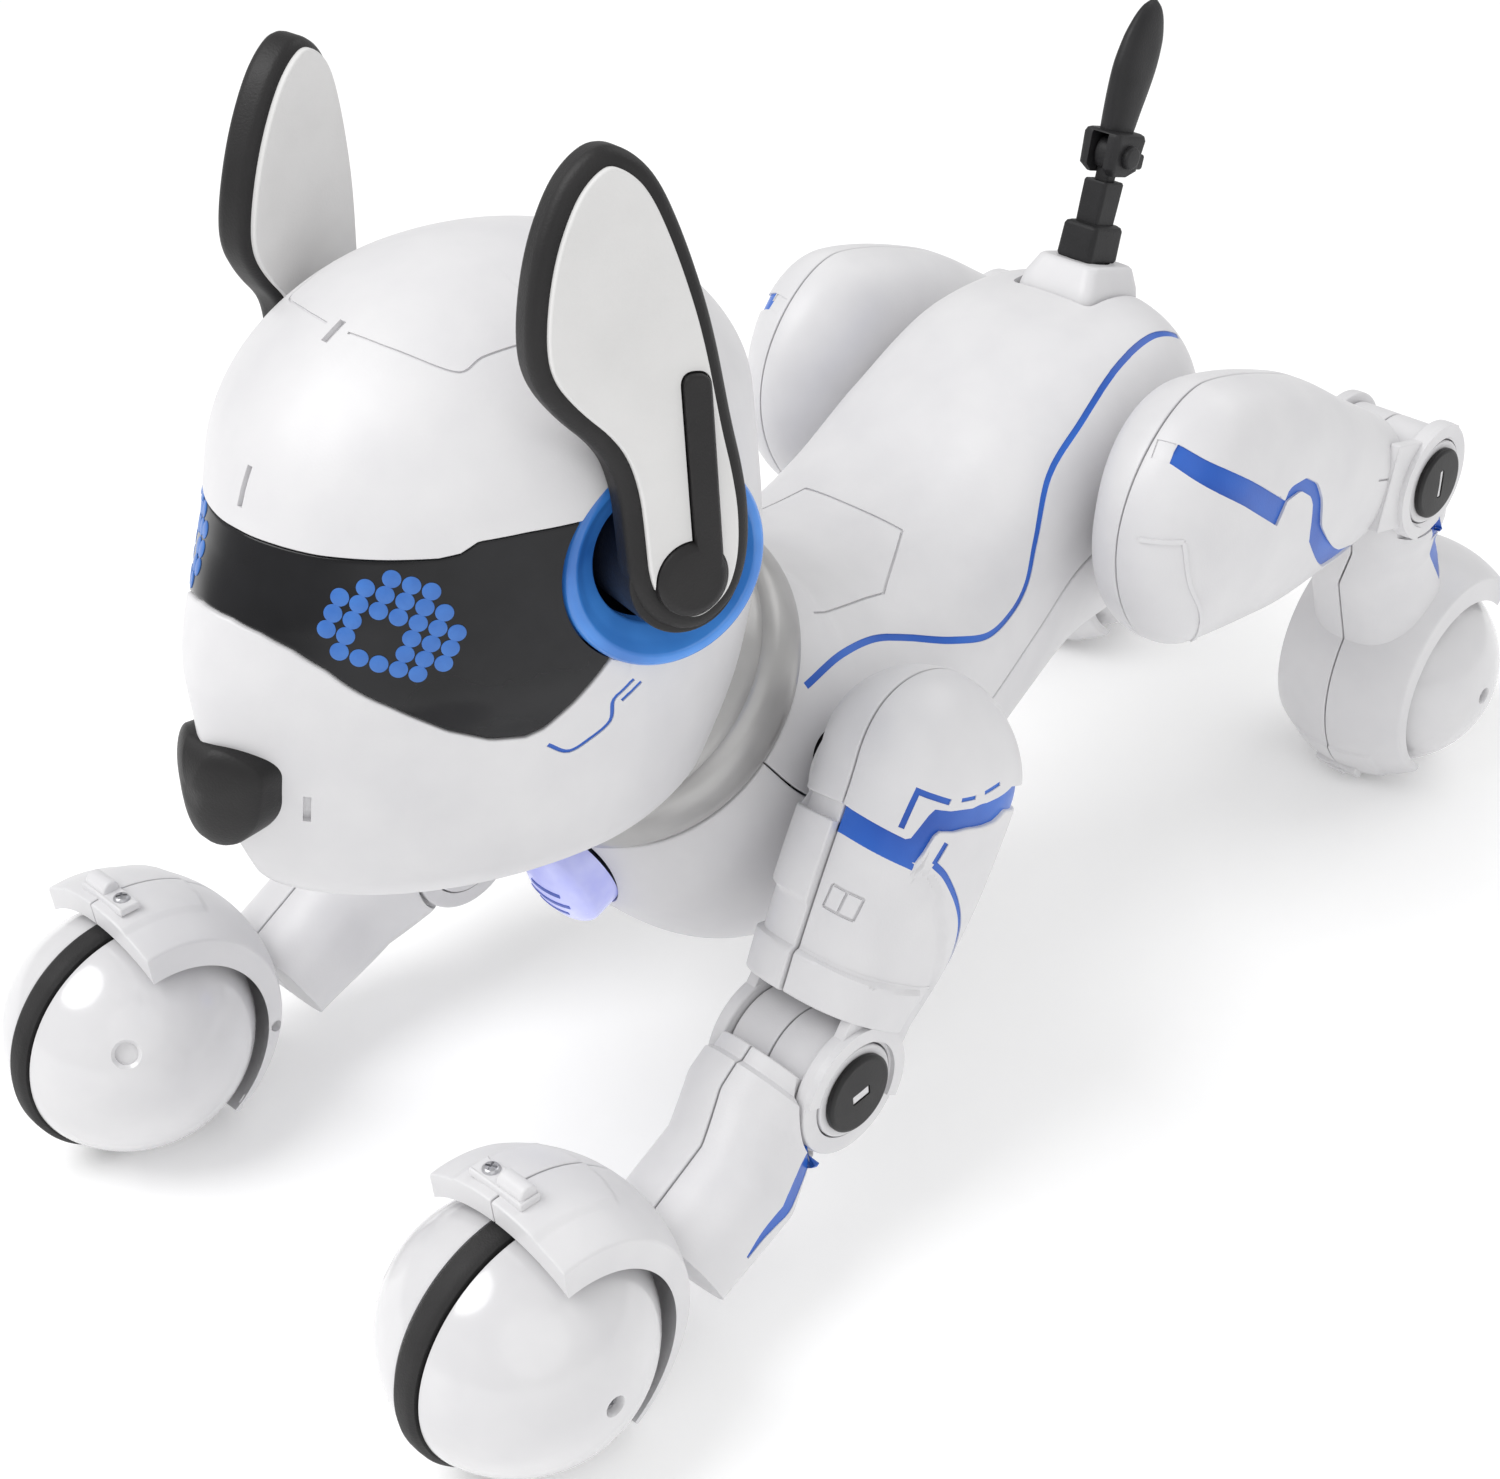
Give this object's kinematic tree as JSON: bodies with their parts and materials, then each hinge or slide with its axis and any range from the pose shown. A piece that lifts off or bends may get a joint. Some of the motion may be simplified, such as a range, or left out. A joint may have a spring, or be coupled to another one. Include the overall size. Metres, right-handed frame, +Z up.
{
  "type": "robot dog toy",
  "caption": "Wheeled robot dog toy crouching on jointed legs: hollow white shells, smoked visor with ring eyes, tall movable ears, ball feet with narrow tyres, hinged tail.",
  "frame": {"origin": "on the floor under the middle of the dog's bounding box", "axes": "+Z up, the dog faces -Y, and its left side is +X"},
  "size_m": [0.1518, 0.315, 0.1996],
  "materials": {
    "white_shell": "satin gloss",
    "ball_shell": "high gloss",
    "tyre_rubber": "matt",
    "black_plastic": "satin",
    "black_rim": "soft satin",
    "ear_panel": "fine matt grain",
    "blue_light": "translucent, lit from inside",
    "circuit_board": "solder mask",
    "speaker_steel": "plain",
    "lens_lavender": "translucent",
    "satin_silver": "satin silver paint",
    "smoked_visor": "smoked, mirror gloss",
    "tail_rubber": "matt"
  },
  "bodies": {
    "torso": {"back_shell": "white_shell", "belly_shell": "white_shell", "battery_door": "white_shell", "battery_pack": "black_plastic", "main_board": "circuit_board", "speaker": "speaker_steel", "chest_lens": "lens_lavender", "neck_collar": "satin_silver", "front_drive": "black_plastic", "rear_drive": "black_plastic", "tail_socket": "white_shell"},
    "switch": {"power_switch": "black_plastic"},
    "head": {"face_shell": "white_shell", "jaw_shell": "white_shell", "visor": "smoked_visor", "eye_board": "circuit_board", "nose": "black_plastic", "neck_post": "black_plastic", "ear_ring_left": "blue_light", "ear_ring_right": "blue_light"},
    "ear_left": {"ear_core_left": "black_rim", "ear_panel_outer_left": "ear_panel", "ear_panel_inner_left": "ear_panel"},
    "ear_right": {"ear_core_right": "black_rim", "ear_panel_outer_right": "ear_panel", "ear_panel_inner_right": "ear_panel"},
    "tail": {"tail_stem": "tail_rubber"},
    "tail_tip": {"tail_blade": "tail_rubber"},
    "front_left_thigh": {"thigh_outer_front_left": "white_shell", "thigh_inner_front_left": "white_shell"},
    "front_left_shin": {"shin_outer_front_left": "white_shell", "shin_inner_front_left": "white_shell", "joint_cap_front_left": "black_plastic", "ball_outer_front_left": "ball_shell", "ball_inner_front_left": "ball_shell"},
    "front_left_wheel": {"wheel_front_left": "tyre_rubber"},
    "front_right_thigh": {"thigh_outer_front_right": "white_shell", "thigh_inner_front_right": "white_shell"},
    "front_right_shin": {"shin_outer_front_right": "white_shell", "shin_inner_front_right": "white_shell", "joint_cap_front_right": "black_plastic", "ball_outer_front_right": "ball_shell", "ball_inner_front_right": "ball_shell"},
    "front_right_wheel": {"wheel_front_right": "tyre_rubber"},
    "rear_left_thigh": {"thigh_outer_rear_left": "white_shell", "thigh_inner_rear_left": "white_shell"},
    "rear_left_shin": {"shin_outer_rear_left": "white_shell", "shin_inner_rear_left": "white_shell", "joint_cap_rear_left": "black_plastic", "ball_outer_rear_left": "ball_shell", "ball_inner_rear_left": "ball_shell"},
    "rear_left_wheel": {"wheel_rear_left": "tyre_rubber"},
    "rear_right_thigh": {"thigh_outer_rear_right": "white_shell", "thigh_inner_rear_right": "white_shell"},
    "rear_right_shin": {"shin_outer_rear_right": "white_shell", "shin_inner_rear_right": "white_shell", "joint_cap_rear_right": "black_plastic", "ball_outer_rear_right": "ball_shell", "ball_inner_rear_right": "ball_shell"},
    "rear_right_wheel": {"wheel_rear_right": "tyre_rubber"}
  },
  "joints": [
    {"name": "power_switch_slide", "type": "slide", "parent": "torso", "child": "switch", "axis": [1, 0, 0], "range_m": [-0.002, 0.002]},
    {"name": "head_turn", "type": "hinge", "parent": "torso", "child": "head", "pos_m": [0, -0.056, 0.087], "axis": [0, -0.682, 0.7314], "range_deg": [-30, 30]},
    {"name": "ear_left_tilt", "type": "hinge", "parent": "head", "child": "ear_left", "pos_m": [0.047, -0.0866, 0.1364], "axis": [0.9466, -0.2942, 0.1321], "range_deg": [-25, 3]},
    {"name": "ear_right_tilt", "type": "hinge", "parent": "head", "child": "ear_right", "pos_m": [-0.047, -0.0866, 0.1364], "axis": [-0.9466, -0.2942, 0.1321], "range_deg": [-3, 25]},
    {"name": "tail_swing", "type": "hinge", "parent": "torso", "child": "tail", "pos_m": [0, 0.0655, 0.121], "axis": [0, 0.2756, 0.9613], "range_deg": [-60, 60]},
    {"name": "tail_tip_bend", "type": "hinge", "parent": "tail", "child": "tail_tip", "pos_m": [0, 0.07267, 0.14599], "axis": [1, 0, 0], "range_deg": [-30, 30]},
    {"name": "front_left_shoulder", "type": "hinge", "parent": "torso", "child": "front_left_thigh", "pos_m": [0.05, -0.039, 0.076], "axis": [1, 0, 0], "range_deg": [-22, 25]},
    {"name": "front_left_elbow", "type": "hinge", "parent": "front_left_thigh", "child": "front_left_shin", "pos_m": [0.05, -0.0655, 0.0345], "axis": [1, 0, 0], "range_deg": [-18, 20]},
    {"name": "front_left_wheel_spin", "type": "hinge", "parent": "front_left_shin", "child": "front_left_wheel", "pos_m": [0.0534, -0.134, 0.0235], "axis": [1, 0, 0], "continuous": true},
    {"name": "front_right_shoulder", "type": "hinge", "parent": "torso", "child": "front_right_thigh", "pos_m": [-0.05, -0.039, 0.076], "axis": [1, 0, 0], "range_deg": [-22, 25]},
    {"name": "front_right_elbow", "type": "hinge", "parent": "front_right_thigh", "child": "front_right_shin", "pos_m": [-0.05, -0.0655, 0.0345], "axis": [1, 0, 0], "range_deg": [-18, 20]},
    {"name": "front_right_wheel_spin", "type": "hinge", "parent": "front_right_shin", "child": "front_right_wheel", "pos_m": [-0.0534, -0.134, 0.0235], "axis": [1, 0, 0], "continuous": true},
    {"name": "rear_left_hip", "type": "hinge", "parent": "torso", "child": "rear_left_thigh", "pos_m": [0.0445, 0.048, 0.094], "axis": [1, 0, 0], "range_deg": [-25, 20]},
    {"name": "rear_left_knee", "type": "hinge", "parent": "rear_left_thigh", "child": "rear_left_shin", "pos_m": [0.046, 0.11, 0.082], "axis": [1, 0, 0], "range_deg": [-20, 20]},
    {"name": "rear_left_wheel_spin", "type": "hinge", "parent": "rear_left_shin", "child": "rear_left_wheel", "pos_m": [0.0425, 0.134, 0.0235], "axis": [1, 0, 0], "continuous": true},
    {"name": "rear_right_hip", "type": "hinge", "parent": "torso", "child": "rear_right_thigh", "pos_m": [-0.0445, 0.048, 0.094], "axis": [1, 0, 0], "range_deg": [-25, 20]},
    {"name": "rear_right_knee", "type": "hinge", "parent": "rear_right_thigh", "child": "rear_right_shin", "pos_m": [-0.046, 0.11, 0.082], "axis": [1, 0, 0], "range_deg": [-20, 20]},
    {"name": "rear_right_wheel_spin", "type": "hinge", "parent": "rear_right_shin", "child": "rear_right_wheel", "pos_m": [-0.0425, 0.134, 0.0235], "axis": [1, 0, 0], "continuous": true}
  ],
  "couplings": [
    {"joint": "front_right_shoulder", "follows": "front_left_shoulder", "ratio": 1},
    {"joint": "rear_right_hip", "follows": "rear_left_hip", "ratio": 1}
  ]
}
